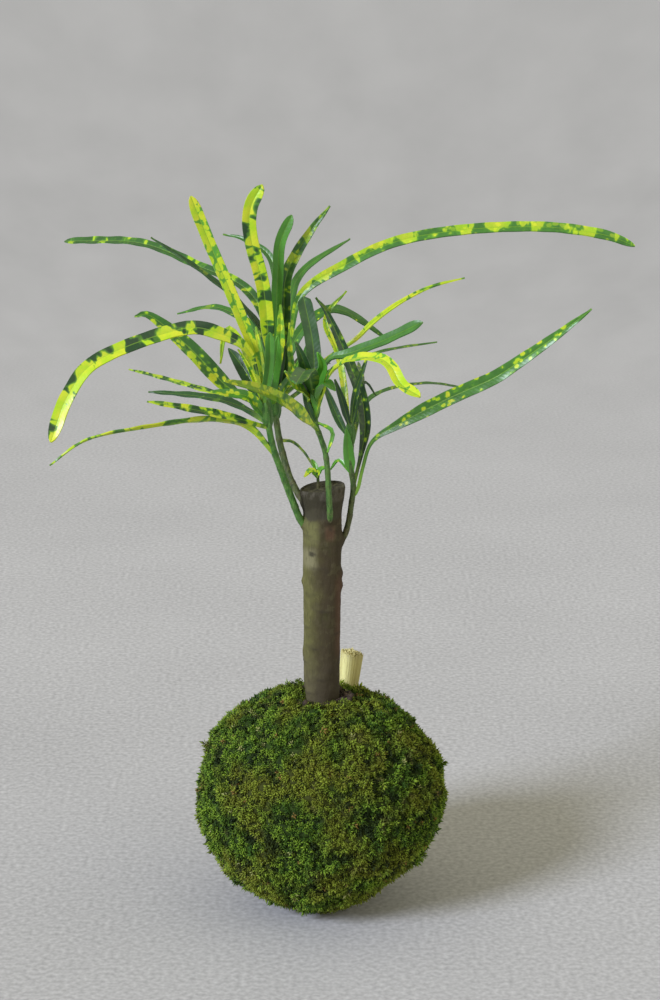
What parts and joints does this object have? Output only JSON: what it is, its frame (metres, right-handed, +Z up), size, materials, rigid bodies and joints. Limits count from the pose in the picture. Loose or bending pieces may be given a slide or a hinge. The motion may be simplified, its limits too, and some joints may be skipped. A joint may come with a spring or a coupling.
{
  "type": "kokedama moss ball plant",
  "caption": "Kokedama: a leafy speckled croton on a short cut trunk, rooted in a moss-wrapped ball of soil that stands on a flat spot.",
  "frame": {"origin": "middle of the flat spot that the moss ball rests on", "axes": "+Z up along the trunk, -Y towards the viewer of the picture, +X to the viewer's right"},
  "size_m": [0.2505, 0.1821, 0.3232],
  "materials": {
    "moss": "dense feathery sheet moss, matt, mid green with olive and yellow patches",
    "soil": "packed dark brown soil, matt and crumbly",
    "bark": "thin olive-brown bark with fine cracks, darker under the cut end",
    "cane": "raw split cane, straw yellow with fibres along it",
    "leaf": "glossy leathery leaf, deep green with yellow specks and patches"
  },
  "bodies": {
    "root": {"moss_cover": "moss", "soil_ball": "soil", "trunk": "bark", "cane_stake": "cane", "shoot_left_front": "leaf", "shoot_left_back": "leaf", "shoot_front": "leaf", "shoot_right": "leaf", "sprout_top": "leaf"}
  },
  "joints": []
}
